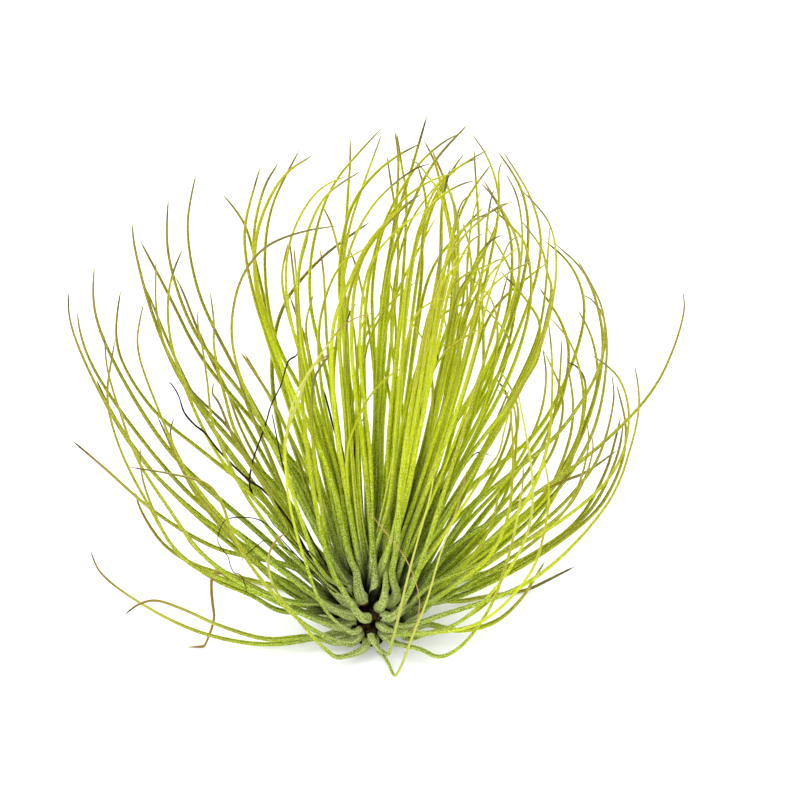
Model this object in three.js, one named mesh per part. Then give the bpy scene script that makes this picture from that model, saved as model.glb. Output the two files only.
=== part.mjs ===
// An air plant: one short dark stem that carries thread-like leaves, each swelling at its foot into a
// small sheath. It stands on the flat end of its stem and on the bows of its lowest leaves.
// Millimetres, +Z up. The origin is the middle of the stem's flat end, and -Y is the plant's open front.
import * as THREE from "three";

// Driving dimensions.
const STEM_RADIUS = 6; // of the stem at its widest
const STEM_HEIGHT = 16;
const FOOT_RADIUS = 3.5; // of the flat end where the old stem broke off
const STUB_HEIGHT = 2; // below this the stem is a plain stub

const BLADE_RADIUS = 0.85; // of a blade just above its sheath
const LEAN_TAPER = 0.3; // how much thinner a blade grows before its taper
const TAPER_FROM = 0.5; // the share of a leaf's length where its taper starts
const SHEATH_SWELL = 0.65; // what the sheath adds to the blade's radius
const SHEATH_MIDDLE = 2.6; // where along the leaf the sheath is widest
const SHEATH_REACH = 2.8;
const ROUND_FOOT = 1.4; // how far up a leaf's foot is rounded

const SEAT_GAP = 0.3; // between a leaf's foot and the stem
const ROOT_SPACING = 2.9; // between the feet of two leaves
const LAUNCH = 4; // how far a leaf goes before it turns its own way, and a thinner one less
const LAUNCH_SQUARE = 2.2; // how much more a leaf starts square to the stem than towards its own way
const SEEN_LAUNCH_SQUARE = 1.1; // the same for a leaf whose foot is seen
const FAR_OFF = 100; // where the eye looks from, for where a foot is seen
const LOWEST_LATITUDE = THREE.MathUtils.degToRad(-28); // of a leaf's foot on the stem
const FLOOR_CLEARANCE = 0.05;

// How the leaves find room.
const CROWN_RADIUS = 15; // the ball around the stem where the leaves are crowded
const SETTLING_ROUNDS = 400;
const PUSH = 0.3; // the share of a shortage that two feet make up in one round
const COMB_GAP = 0.2; // between two leaves that pass each other
const COMB_STEP = 1; // how much further back, or forwards, a leaf is tried next
const COMB_STEPS = 9;
const COMB_PITCH = 0.6;

// How finely the meshes are cut.
const SIDES = 5; // of a leaf's section
const FOOT_STATIONS = [0, 0.25, 0.8, 1.8, 3.4, 5.6, 9]; // along a leaf, where its sheath swells and ends
const BLADE_STATIONS = 15; // from there to the tip
const BEND_LENGTH = 20; // a bend of one radian takes up as many of them as this length of straight blade
const FINE_STEPS = 300;
const STEM_SIDES = 18;
const STEM_ROWS = 9;

// Each leaf is written as an eye sees it from this many degrees above the horizon, straight in front.
// "seen" holds points along it as [across, up] from the stem's foot, square to that line of sight, and
// "back" is how far behind the stem its tip ends, or in front of it where that is negative. A leaf on the
// stem's near side has its "foot" given in the same way. "stout" is below 1 for a thinner leaf.
const EYE_ELEVATION = THREE.MathUtils.degToRad(38);
const SPREAD = 0.6; // below 1, a leaf goes outwards first and upwards later
const SEEN_SPREAD = 1; // the same for a leaf whose foot is seen

const LEAVES = {
  left_leaf: [
    { back: -8, seen: [[-10, 1], [-26, -1.5], [-42.5, 1.5], [-57.5, 9], [-67.5, 17], [-70, 23]] },
    { back: -14, seen: [[-15, 0.5], [-26, 0], [-39, 4], [-47.5, 8], [-54, 10], [-58, 9], [-62, 6]] },
    { back: 10, seen: [[-17.5, 17], [-39, 23], [-54, 32], [-67.5, 44], [-75, 50.5]] },
    { back: 36, seen: [[-17.5, 9], [-32.5, 12], [-41, 16], [-52.5, 23], [-59, 33], [-60, 37.5]] },
    { back: 8, seen: [[-20, 16], [-42.5, 31], [-57.5, 46], [-68, 64], [-74, 80], [-74, 88]] },
    { back: 22, seen: [[-25, 20], [-45, 36], [-59, 52.5], [-69, 68], [-72, 76], [-73, 83]] },
    { back: 16, seen: [[-29, 27.5], [-49, 46], [-60, 62.5], [-67, 77.5], [-68.5, 85], [-68, 94]] },
    { back: 54, seen: [[-25, 32.5], [-40, 45], [-55, 57.5], [-63, 70], [-64.5, 77.5], [-63, 89]] },
    { back: -12, seen: [[-30, 12.5], [-46, 20], [-55, 34], [-62, 49], [-64.5, 61], [-62, 76]] },
    { back: 28, seen: [[-21, 35], [-34, 49], [-47.5, 66], [-54.5, 82.5], [-58.5, 99], [-59, 105]] },
    { back: 42, seen: [[-17.5, 40], [-27.5, 52.5], [-42.5, 71], [-51, 87.5], [-58, 101]] },
    { back: -6, foot: [-3.6, 6], seen: [[-8.5, 8.7], [-30, 24], [-44, 40], [-53, 60], [-57, 74], [-55, 85]] },
    { back: 36, seen: [[-20, 42.5], [-31, 60], [-44, 77.5], [-50, 95], [-50.5, 104], [-50, 111]] },
    { back: 10, seen: [[-26, 35], [-41, 56], [-49, 69], [-52.5, 81], [-52.5, 96]] },
    { back: -4, seen: [[-24, 30], [-37.5, 46], [-46, 64], [-49.5, 77.5], [-49, 89], [-45.5, 98]] },
    { back: 44, seen: [[-14, 37.5], [-24, 50], [-35, 70], [-43, 87.5], [-45.5, 104], [-43, 117.5]] },
    {
      back: 6,
      seen: [
        [-15, 30], [-26, 52.5], [-32.5, 67.5], [-34, 79],
        [-31, 91], [-25, 98], [-16, 101.5], [-7, 103],
      ],
    },
    { back: 64, seen: [[-17.5, 35], [-23, 52.5], [-25, 69], [-22, 84], [-12.5, 96], [1, 106]] },
  ],
  back_leaf: [
    { back: 66, seen: [[-12.5, 35], [-21, 60], [-28.5, 92.5], [-32, 105], [-38, 113]] },
    { back: 66, seen: [[-6, 10], [-14, 22], [-24, 36], [-33, 52], [-38, 66]] },
    { back: 56, seen: [[-7.5, 35], [-15, 57.5], [-24, 76], [-26.5, 95], [-24.5, 109], [-17, 124]] },
    {
      back: 26,
      foot: [-1.6, 9.7],
      seen: [
        [-3.6, 17.3], [-5.3, 21], [-9.3, 38.8], [-13, 49],
        [-20, 64], [-28, 87.5], [-27.5, 102.5], [-21, 115.5], [-13, 121],
      ],
    },
    { back: 48, seen: [[-5, 30], [-10, 62.5], [-15, 85], [-14, 100], [-9, 114], [4, 129]] },
    {
      back: 62,
      foot: [0.9, 13],
      seen: [
        [-0.2, 20], [-2.2, 25], [-4.3, 34], [-5.8, 45.5],
        [-6, 67.5], [-7.5, 87.5], [-5, 104], [-0.5, 117.5], [3.5, 128.5],
      ],
    },
    { back: 18, seen: [[-6, 30], [-14, 60], [-17.5, 80], [-17, 95], [-11, 110], [-1, 117]] },
    { back: 30, seen: [[-3, 37.5], [-6, 72.5], [-7.5, 92.5], [-4, 109], [4, 118.5], [13.5, 124]] },
    { back: 8, seen: [[-1, 42.5], [-4.5, 75], [-2, 94], [5, 104], [13, 111]] },
    { back: 54, seen: [[2, 47.5], [4, 80], [6, 102.5], [11, 120], [14.5, 132]] },
    { back: 64, seen: [[6, 10], [13, 21], [22, 36], [30, 50], [36, 64]] },
    {
      back: 30,
      foot: [2, 7.8],
      seen: [[3.2, 14.5], [4.2, 20], [4.6, 33], [4.6, 50], [7.5, 77.5], [11, 97.5], [17.5, 114], [31, 123]],
    },
    { back: 50, seen: [[7.5, 40], [14, 72.5], [19, 95], [24, 110], [31, 120]] },
    { back: 64, seen: [[3, 52.5], [5.5, 77.5], [7, 100], [4, 123]] },
    { back: 68, seen: [[6, 35], [11, 72.5], [16, 94], [29.5, 110]] },
    { back: 60, seen: [[12.5, 42.5], [21, 72.5], [27, 95], [26, 124.5]] },
    { back: 76, seen: [[-11, 31], [-24.5, 58], [-33, 73]] },
  ],
  right_leaf: [
    { back: 46, seen: [[10, 47.5], [21, 82.5], [32, 106], [30, 119], [24.5, 127.5]] },
    { back: 46, seen: [[15, 10], [25, 13], [40, 20], [52.5, 29], [60, 42], [64, 57]] },
    { back: 26, seen: [[17.5, 47.5], [31, 72.5], [37.5, 95], [36.5, 110], [33, 117]] },
    { back: 52, seen: [[15, 42.5], [32.5, 72.5], [39.5, 97.5], [38, 112.5], [31, 123.5]] },
    { back: 34, seen: [[20, 45], [35, 72.5], [42.5, 97.5], [40, 110], [32, 123]] },
    { back: 16, seen: [[22.5, 42.5], [40, 67.5], [46, 91], [44, 104], [36, 113]] },
    { back: 60, seen: [[22.5, 35], [42.5, 52.5], [53, 75], [54, 86], [50.5, 94.5], [43.5, 101]] },
    { back: 12, seen: [[25, 32.5], [47.5, 52.5], [57.5, 70], [57.5, 82.5], [50.5, 96]] },
    { back: -10, seen: [[25, 17.5], [47.5, 30], [60.5, 42.5], [64, 56], [61, 66], [53.5, 72]] },
    { back: 6, seen: [[20, 22.5], [37.5, 34], [57.5, 49], [71, 64], [77.5, 82], [77, 88]] },
    { back: -24, seen: [[17.5, 6], [40, 15], [59, 35], [64.5, 50], [66, 60], [64.5, 69.5]] },
    { back: 22, seen: [[15, 9], [25, 9], [37.5, 11], [52.5, 18]] },
    { back: -2, seen: [[6, 4.5], [14, 3.5], [22.5, 2], [31, 4], [37.5, 9.5], [44, 20]] },
  ],
  front_leaf: [
    {
      back: -38,
      seen: [
        [-6, 1], [-12.5, 1.5], [-20, 7.5], [-29, 18.5], [-34, 27.5],
        [-36, 34], [-39.5, 39.5], [-47.5, 42], [-59.5, 44],
      ],
    },
    {
      back: -36,
      stout: 0.8,
      seen: [
        [-5.6, -1.8], [-8, -4.5], [-11, -2.5], [-17.5, 5],
        [-24, 14.5], [-25, 21], [-23.5, 25], [-20, 28],
      ],
    },
    {
      back: -30,
      foot: [-2.2, 2.9],
      stout: 0.75,
      seen: [
        [-6, 2.7], [-11, 7.2], [-16, 19.5], [-20, 36], [-20.5, 50],
        [-18, 61], [-12.5, 70], [-5, 79], [2, 81.5],
      ],
    },
    {
      back: -5,
      foot: [-0.5, 5.4],
      seen: [
        [-4.1, 8.3], [-7.7, 13.8], [-9.1, 16.3], [-10.9, 21.7],
        [-14.5, 40], [-17, 65], [-18, 85], [-19.5, 100],
      ],
    },
    {
      back: -38,
      seen: [
        [4, 1.2], [8.5, 0.2], [12.5, -2.4], [17, -4.25], [22, -2],
        [29.5, 8], [34.5, 22.5], [37.5, 40], [37.5, 45],
      ],
    },
    {
      back: -30,
      foot: [2.2, 3.8],
      stout: 0.85,
      seen: [[5.9, 2.2], [15, 1.5], [23, 5], [32.5, 15], [39, 27.5], [40, 40], [35.5, 65]],
    },
    {
      back: -46,
      stout: 0.65,
      seen: [
        [1, -0.5], [4, -5], [6, -9], [8, -6], [10.5, 1],
        [14, 10], [17.5, 22.5], [22, 35.5], [24, 45],
      ],
    },
    {
      back: -44,
      foot: [0, 2],
      stout: 0.65,
      seen: [[1.2, -0.5], [4, -4], [5.6, 0], [7, 5.5], [8.2, 11], [10.2, 19.4], [11.6, 24.7], [15, 37.5], [16, 44]],
    },
    {
      back: -22,
      foot: [2.7, 6],
      seen: [[5.9, 6.5], [9.3, 11], [12, 17.2], [13.8, 22.6], [20, 42.5], [27.5, 67.5], [34, 92]],
    },
    {
      back: -12,
      foot: [4.3, 9],
      seen: [[5.5, 16.3], [6.6, 23.5], [7.5, 37.5], [10.5, 60], [15.5, 85], [18, 100]],
    },
  ],
  dry_leaf: [
    {
      back: -4,
      seen: [
        [-10, 8], [-30, 13.5], [-37, 17], [-39.5, 16],
        [-40, 11], [-39.5, 5], [-43, -3], [-47, -5.5],
      ],
    },
  ],
};

const STEM_MIDDLE = new THREE.Vector3(0, 0, STEM_HEIGHT / 2);
const GREEN = new THREE.MeshStandardMaterial({ color: 0x93a83c, roughness: 0.62, metalness: 0 });
const TAN = new THREE.MeshStandardMaterial({ color: 0xa58a55, roughness: 0.8, metalness: 0 });
const BARK = new THREE.MeshStandardMaterial({ color: 0x33221a, roughness: 0.9, metalness: 0 });

// The direction from the stem's middle to where a foot is seen on its near side.
function footSeenAt([across, up]) {
  const half = new THREE.Vector3(STEM_RADIUS, STEM_RADIUS, STEM_HEIGHT / 2);
  const place = new THREE.Vector3(across, up * Math.sin(EYE_ELEVATION), up * Math.cos(EYE_ELEVATION));
  const sight = new THREE.Vector3(0, -Math.cos(EYE_ELEVATION), Math.sin(EYE_ELEVATION));
  const from = place.addScaledVector(sight, FAR_OFF).sub(STEM_MIDDLE).divide(half);
  const ray = new THREE.Ray(from, sight.negate().divide(half).normalize());
  return ray.intersectSphere(new THREE.Sphere(new THREE.Vector3(), 1), new THREE.Vector3());
}

// A leaf's way points in space. It goes back, or forwards, in step with how far along it they are.
function wayPoints({ seen, back, foot }) {
  const near = foot ? onStem(footSeenAt(foot), SEAT_GAP).y : 0;
  const spread = foot ? SEEN_SPREAD : SPREAD;
  const reach = [];
  let [across, up] = foot ?? [0, 0];
  let along = 0;
  for (const point of seen) {
    along += Math.hypot(point[0] - across, point[1] - up);
    reach.push(along);
    [across, up] = point;
  }
  return seen.map(([x, rise], i) => {
    const y = near + (back - near) * (reach[i] / along) ** spread;
    const z = (rise - y * Math.sin(EYE_ELEVATION)) / Math.cos(EYE_ELEVATION);
    return new THREE.Vector3(x, y, z);
  });
}

// A point of the stem's rounded side, in a direction from its middle, with a gap outside it.
function onStem(direction, gap) {
  const half = new THREE.Vector3(STEM_RADIUS + gap, STEM_RADIUS + gap, STEM_HEIGHT / 2 + gap);
  return direction.clone().multiply(half).add(STEM_MIDDLE);
}

function stemNormal(direction) {
  const half = new THREE.Vector3(STEM_RADIUS, STEM_RADIUS, STEM_HEIGHT / 2);
  return direction.clone().divide(half).normalize();
}

// The feet of the leaves, as directions from the stem's middle. Each starts under its own leaf, low leaves
// low on the stem, and then they push each other apart until they stand ROOT_SPACING from the next. The
// feet that are seen stay where they are.
function settleFeet(rows, ways) {
  const lowest = Math.sin(LOWEST_LATITUDE);
  const under = (i) => ways[i][0].clone().sub(STEM_MIDDLE).normalize();
  const feet = rows.map(({ foot }, i) => (foot ? footSeenAt(foot) : under(i)));
  for (let round = 0; round < SETTLING_ROUNDS; round++) {
    feet.forEach((foot, i) => {
      for (let j = 0; j < i; j++) {
        const apart = onStem(foot, SEAT_GAP).sub(onStem(feet[j], SEAT_GAP));
        const short = (ROOT_SPACING * (stoutness(rows[i]) + stoutness(rows[j]))) / 2 - apart.length();
        if (short <= 0) continue;
        const push = apart.setLength((PUSH * short) / STEM_RADIUS);
        if (!rows[i].foot) foot.add(push).normalize();
        if (!rows[j].foot) feet[j].sub(push).normalize();
      }
      if (rows[i].foot) return;
      foot.z = Math.max(foot.z, lowest);
      foot.normalize();
    });
  }
  return uncross(feet, rows, ways);
}

function stoutness({ stout = 1 }) {
  return stout;
}

// Two leaves change feet wherever that shortens the way from their feet to where they are bound.
function uncross(feet, rows, ways) {
  const way = (foot, i) => onStem(foot, SEAT_GAP).distanceTo(ways[i].find(leavesTheCrown) ?? ways[i].at(-1));
  for (let round = 0; round < SETTLING_ROUNDS; round++) {
    for (let i = 0; i < feet.length; i++) {
      for (let j = 0; j < i; j++) {
        if (rows[i].foot || rows[j].foot) continue;
        const saved = way(feet[i], i) + way(feet[j], j) - way(feet[j], i) - way(feet[i], j);
        if (saved > 0) [feet[i], feet[j]] = [feet[j], feet[i]];
      }
    }
  }
  return feet;
}

function leavesTheCrown(point) {
  return point.distanceTo(STEM_MIDDLE) > CROWN_RADIUS;
}

// A leaf's middle line: out of the stem, nearly square to it, and then through its way points.
function middleLine(row, foot) {
  const points = wayPoints(row);
  const root = onStem(foot, SEAT_GAP);
  const towards = points[0].clone().sub(root).normalize();
  const square = row.foot ? SEEN_LAUNCH_SQUARE : LAUNCH_SQUARE;
  const length = LAUNCH * stoutness(row);
  const launch = stemNormal(foot).multiplyScalar(square).add(towards).setLength(length).add(root);
  const beyond = points.filter((point) => point.distanceTo(root) > 2 * length);
  return new THREE.CatmullRomCurve3([root, launch, ...beyond], false, "centripetal");
}

// A leaf's radius: round at its foot, swollen over its sheath, then a blade that thins to a point.
function leafRadius(along, length, stout) {
  const share = along / length;
  const taper = THREE.MathUtils.smoothstep(share, TAPER_FROM, 1);
  const blade = THREE.MathUtils.lerp(BLADE_RADIUS * (1 - LEAN_TAPER * share), 0, taper);
  const swell = SHEATH_SWELL * Math.exp(-(((along - SHEATH_MIDDLE) / SHEATH_REACH) ** 2));
  const toFoot = Math.max(0, 1 - along / ROUND_FOOT);
  return stout * (blade + swell) * Math.sqrt(1 - toFoot * toFoot);
}

// Where along a leaf its cross-sections are: close on the sheath, and closer in the blade's bends than
// where it runs straight.
function stationsOf(curve, length) {
  const from = FOOT_STATIONS.at(-1);
  const at = (step) => THREE.MathUtils.lerp(from, length, step / FINE_STEPS);
  const tangent = (step) => curve.getTangentAt(at(step) / length);
  const effort = [0];
  for (let i = 1; i <= FINE_STEPS; i++) {
    effort.push(effort.at(-1) + at(i) - at(i - 1) + BEND_LENGTH * tangent(i).angleTo(tangent(i - 1)));
  }
  const blade = [];
  for (let k = 1; k < BLADE_STATIONS; k++) {
    const wanted = (effort.at(-1) * k) / BLADE_STATIONS;
    const i = effort.findIndex((value) => value >= wanted);
    blade.push(at(i - 1 + (wanted - effort[i - 1]) / (effort[i] - effort[i - 1])));
  }
  return [...FOOT_STATIONS, ...blade, length];
}

// A leaf's cross-sections from foot to tip, lifted where they would pass under the floor.
function crossSections(curve, stout) {
  const length = curve.getLength();
  return stationsOf(curve, length).map((along) => {
    const radius = leafRadius(along, length, stout);
    const centre = curve.getPointAt(along / length);
    centre.z = Math.max(centre.z, radius + FLOOR_CLEARANCE);
    return { centre, radius };
  });
}

// The same leaf with sections as close as COMB_PITCH, to measure with.
function finely(leaf) {
  const fine = [leaf[0]];
  for (let i = 1; i < leaf.length; i++) {
    const parts = Math.ceil(leaf[i].centre.distanceTo(leaf[i - 1].centre) / COMB_PITCH);
    for (let k = 1; k <= parts; k++) {
      const centre = leaf[i - 1].centre.clone().lerp(leaf[i].centre, k / parts);
      fine.push({ centre, radius: THREE.MathUtils.lerp(leaf[i - 1].radius, leaf[i].radius, k / parts) });
    }
  }
  return fine;
}

function gapBetween(fine, leaf) {
  const stretch = new THREE.Line3();
  const nearest = new THREE.Vector3();
  let least = Infinity;
  for (let i = 1; i < leaf.length; i++) {
    stretch.set(leaf[i - 1].centre, leaf[i].centre);
    for (const { centre, radius } of fine) {
      const at = stretch.closestPointToPointParameter(centre, true);
      const there = THREE.MathUtils.lerp(leaf[i - 1].radius, leaf[i].radius, at);
      least = Math.min(least, stretch.at(at, nearest).distanceTo(centre) - radius - there);
    }
  }
  return least;
}

// A leaf grown past the ones before it: it is combed back, or forwards, until it clears them all.
function grow(row, foot, grown) {
  let best = null;
  for (let step = 0; step <= COMB_STEPS; step++) {
    for (const side of step ? [1, -1] : [1]) {
      const combed = { ...row, back: row.back + side * step * COMB_STEP };
      const leaf = crossSections(middleLine(combed, foot), stoutness(row));
      const fine = finely(leaf);
      const gap = Math.min(...grown.map((other) => gapBetween(fine, other)));
      if (gap > COMB_GAP) return leaf;
      if (!best || gap > best.gap) best = { leaf, gap };
    }
  }
  return best.leaf;
}

// A lathe turned up the leaf's radii, one unit of height for each section, and then bent along its middle.
function leafGeometry(leaf) {
  const profile = leaf.map(({ radius }, i) => new THREE.Vector2(radius, i));
  const geometry = new THREE.LatheGeometry(profile, SIDES);
  const tangents = leaf.map((_, i) => {
    const [before, after] = [leaf[Math.max(i - 1, 0)], leaf[Math.min(i + 1, leaf.length - 1)]];
    return after.centre.clone().sub(before.centre).normalize();
  });
  const outwards = [new THREE.Vector3().crossVectors(tangents[0], new THREE.Vector3(0, 1, 0)).normalize()];
  for (const tangent of tangents.slice(1)) {
    const last = outwards.at(-1);
    outwards.push(last.clone().addScaledVector(tangent, -last.dot(tangent)).normalize());
  }
  const position = geometry.attributes.position;
  const point = new THREE.Vector3();
  for (let i = 0; i < position.count; i++) {
    point.fromBufferAttribute(position, i);
    const at = Math.round(point.y);
    const sideways = new THREE.Vector3().crossVectors(outwards[at], tangents[at]);
    const bent = leaf[at].centre.clone();
    bent.addScaledVector(outwards[at], point.x).addScaledVector(sideways, point.z);
    position.setXYZ(i, bent.x, bent.y, bent.z);
  }
  geometry.computeVertexNormals();
  return geometry;
}

// The stem: a flat end, a plain stub, and the rounded part that the leaves stand on.
function stemGeometry() {
  const half = STEM_HEIGHT / 2;
  const stubTop = Math.asin((STUB_HEIGHT - half) / half);
  const profile = [new THREE.Vector2(0, 0), new THREE.Vector2(FOOT_RADIUS, 0)];
  for (let i = 0; i <= STEM_ROWS; i++) {
    const latitude = THREE.MathUtils.lerp(stubTop, Math.PI / 2, i / STEM_ROWS);
    const across = i === STEM_ROWS ? 0 : STEM_RADIUS * Math.cos(latitude);
    profile.push(new THREE.Vector2(across, half + half * Math.sin(latitude)));
  }
  return new THREE.LatheGeometry(profile, STEM_SIDES);
}

const plant = new THREE.Group();

const stem = new THREE.Mesh(stemGeometry(), BARK);
stem.name = "stem";
stem.rotation.x = Math.PI / 2; // the lathe stood on its own Y
plant.add(stem);

const rows = Object.entries(LEAVES).flatMap(([kind, leaves]) => leaves.map((leaf) => ({ kind, ...leaf })));
const feet = settleFeet(rows, rows.map(wayPoints));
const grown = [];
const count = {};
rows.forEach((row, i) => {
  grown.push(grow(row, feet[i], grown));
  count[row.kind] = (count[row.kind] ?? 0) + 1;
  const leaf = new THREE.Mesh(leafGeometry(grown.at(-1)), row.kind === "dry_leaf" ? TAN : GREEN);
  leaf.name = `${row.kind}_${String(count[row.kind]).padStart(2, "0")}`;
  plant.add(leaf);
});

export default plant;
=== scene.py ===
# %% [markdown]
# # An air plant, leaf by leaf
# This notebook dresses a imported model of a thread-leaved air plant: a short dark stem and more than 180
# fine, arching leaves. The model already holds the stem and the leaves that carry the rosette's shape. Here
# every leaf gets its swollen silvery sheath, its channelled blade, its dry tip and its colours, and the
# thinner leaves between them are added. Everything is in metres, +Z up, and the plant stands at the origin,
# with its open front towards -Y.

import math
import random
from types import SimpleNamespace

import bmesh
import bpy
import numpy as np
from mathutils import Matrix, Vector, noise
from mathutils.kdtree import KDTree


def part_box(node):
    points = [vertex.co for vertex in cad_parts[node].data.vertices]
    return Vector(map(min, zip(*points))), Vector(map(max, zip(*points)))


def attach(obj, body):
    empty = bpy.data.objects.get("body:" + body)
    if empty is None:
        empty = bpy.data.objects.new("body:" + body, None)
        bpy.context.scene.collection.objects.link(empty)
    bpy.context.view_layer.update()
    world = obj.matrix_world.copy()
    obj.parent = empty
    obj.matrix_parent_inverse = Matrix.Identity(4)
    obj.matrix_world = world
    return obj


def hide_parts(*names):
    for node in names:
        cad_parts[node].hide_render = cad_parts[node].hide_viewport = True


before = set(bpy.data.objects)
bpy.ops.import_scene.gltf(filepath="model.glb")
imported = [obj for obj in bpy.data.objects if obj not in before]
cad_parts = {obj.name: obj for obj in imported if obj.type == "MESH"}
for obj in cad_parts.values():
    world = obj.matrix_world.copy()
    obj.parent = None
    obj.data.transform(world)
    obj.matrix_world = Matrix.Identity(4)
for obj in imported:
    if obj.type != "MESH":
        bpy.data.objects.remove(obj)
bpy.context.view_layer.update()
MM = 0.001
print("nodes in the frame:", len(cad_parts))

# %% [markdown]
# ## The camera
# The photograph looks down on the plant from 38 degrees above the table, straight at its open front, and
# shows hardly any perspective. A long lens from far away does the same. The picture is 200 mm wide where
# the plant stands, so the focal length follows from the distance.

# %% Place the camera
EYE_ELEVATION = math.radians(38)
EYE_DISTANCE = 2.2
EYE_TARGET = Vector((7.5, 15.0, 64.7)) * MM
PICTURE_WIDTH = 200 * MM
SENSOR_WIDTH = 36  # millimetres, as Blender takes it
FARTHEST = 50  # metres, beyond the floor's edge

scene = bpy.context.scene


def show(name, data):
    """A new object in the scene that shows a mesh, a lamp or a camera."""
    thing = bpy.data.objects.new(name, data)
    scene.collection.objects.link(thing)
    return thing


eye = bpy.data.cameras.new("eye")
eye.sensor_width = SENSOR_WIDTH
eye.lens = SENSOR_WIDTH * EYE_DISTANCE / PICTURE_WIDTH
eye.clip_end = FARTHEST
camera = show("eye", eye)
towards_eye = Vector((0, -math.cos(EYE_ELEVATION), math.sin(EYE_ELEVATION)))
camera.location = EYE_TARGET + EYE_DISTANCE * towards_eye
camera.rotation_euler = (math.pi / 2 - EYE_ELEVATION, 0, 0)
scene.camera = camera
print("focal length in mm:", round(eye.lens))

# %% [markdown]
# ## Writing node trees as sums
# Node trees are easier to read as arithmetic than as wiring. `Wire` is a value on its way through a tree:
# adding or multiplying it adds the Math node that does so, and on a vector a Vector Math node. `Tree.add`
# makes every other node from its type, its settings and what goes into its sockets. The same two classes
# serve the leaves' shape and their colours.

# %% A value in a node tree
class Wire:
    """A socket's value. Arithmetic on it adds the nodes that work it out."""

    def __init__(self, tree, socket):
        self.tree = tree
        self.socket = socket

    def maths(self, operation, *values):
        if self.socket.type == "VECTOR":
            return self.tree.vector(operation, self, *values)
        return self.tree.number(operation, self, *values)

    def __add__(self, other):
        return self.maths("ADD", other)

    def __sub__(self, other):
        return self.maths("SUBTRACT", other)

    def __rsub__(self, other):
        return self.tree.number("SUBTRACT", other, self)

    def __mul__(self, other):
        if self.socket.type == "VECTOR":
            return self.tree.vector("SCALE", self, scale=other)
        return self.tree.number("MULTIPLY", self, other)

    def __truediv__(self, other):
        return self.tree.number("DIVIDE", self, other)

    def __pow__(self, other):
        return self.tree.number("POWER", self, other)

    __radd__ = __add__
    __rmul__ = __mul__


# %% A node tree
class Tree:
    """A node tree that is written as Python expressions."""

    def __init__(self, nodes):
        self.nodes = nodes

    def add(self, kind, settings=None, sockets=None):
        """Adds a node: first its settings, then a value or a wire for each socket by name or number."""
        node = self.nodes.nodes.new(kind)
        for name, value in (settings or {}).items():
            setattr(node, name, value)
        for name, value in (sockets or {}).items():
            shown = [socket for socket in node.inputs if socket.enabled]
            socket = shown[name] if isinstance(name, int) else next(s for s in shown if s.name == name)
            if isinstance(value, Wire):
                self.nodes.links.new(value.socket, socket)
            else:
                socket.default_value = value
        return [Wire(self, socket) for socket in node.outputs if socket.enabled]

    def number(self, operation, *values):
        return self.add("ShaderNodeMath", {"operation": operation}, dict(enumerate(values)))[0]

    def vector(self, operation, *values, scale=None):
        sockets = dict(enumerate(values))
        if scale is not None:
            sockets["Scale"] = scale
        return self.add("ShaderNodeVectorMath", {"operation": operation}, sockets)[0]

    def rise(self, value, low, high):
        """0 below low, 1 above high and a smooth step between them; low may be the higher one."""
        sockets = {"Value": value, "From Min": low, "From Max": high}
        return self.add("ShaderNodeMapRange", {"interpolation_type": "SMOOTHSTEP"}, sockets)[0]

    def bell(self, value, middle, reach):
        """1 at the middle, falling off to either side within the reach."""
        away = (value - middle) / reach
        return self.number("EXPONENT", away * away * -1.0)

    def colours(self, share, first, second):
        """A mix of two colours: all of the second one where the share is 1."""
        sockets = {"Factor": share, "A": first, "B": second}
        return self.add("ShaderNodeMix", {"data_type": "RGBA"}, sockets)[0]

    def noise(self, vector, density, detail, roughness=0.5):
        """Cloudy noise around 0.5, with so many clouds in a metre."""
        sockets = {"Vector": vector, "Scale": density, "Detail": detail, "Roughness": roughness}
        return self.add("ShaderNodeTexNoise", {}, sockets)[0]

    def attribute(self, name):
        """A number that the mesh carries at each of its points."""
        return self.add("ShaderNodeAttribute", {"attribute_name": name})[2]

    def here(self):
        """The place on the object."""
        return self.add("ShaderNodeTexCoord")[3]

    def bump(self, strength, depth, height):
        """A normal that makes the surface look uneven, as deep as that where the height changes by 1."""
        sockets = {"Strength": strength, "Distance": depth, "Height": height}
        return self.add("ShaderNodeBump", {}, sockets)[0]


# %% [markdown]
# ## The floor and the light
# The plant was photographed on a white surface under so much soft light that the surface is nearly all
# burnt out to white. The Standard view transform keeps that white and the vivid yellow-greens. One broad
# lamp from the upper left and a bright, even sky do the rest.

# %% The floor
FLOOR_HALF = 3.0  # metres
BURNT_OUT = 1.2  # how much more light falls on the plant than shows white as white


def srgb(red, green, blue):
    """A colour as it looks on a screen, 0 to 255, as the linear values that a shader takes."""
    shares = [value / 255 for value in (red, green, blue)]
    return (*[s / 12.92 if s <= 0.04045 else ((s + 0.055) / 1.055) ** 2.4 for s in shares], 1.0)


def looks(red, green, blue):
    """The colour of a surface that looks like this in so much light."""
    return (*[share / BURNT_OUT for share in srgb(red, green, blue)[:3]], 1.0)


def new_material(name):
    """An empty material with a Principled shader: the material, its tree and its shader."""
    material = bpy.data.materials.new(name)
    material.use_nodes = True
    shader = material.node_tree.nodes["Principled BSDF"]
    return material, Tree(material.node_tree), shader


def plug(tree, shader, sockets):
    """Sets the shader's sockets to values, or links wires to them."""
    for name, value in sockets.items():
        if isinstance(value, Wire):
            tree.nodes.links.new(value.socket, shader.inputs[name])
        else:
            shader.inputs[name].default_value = value


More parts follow.
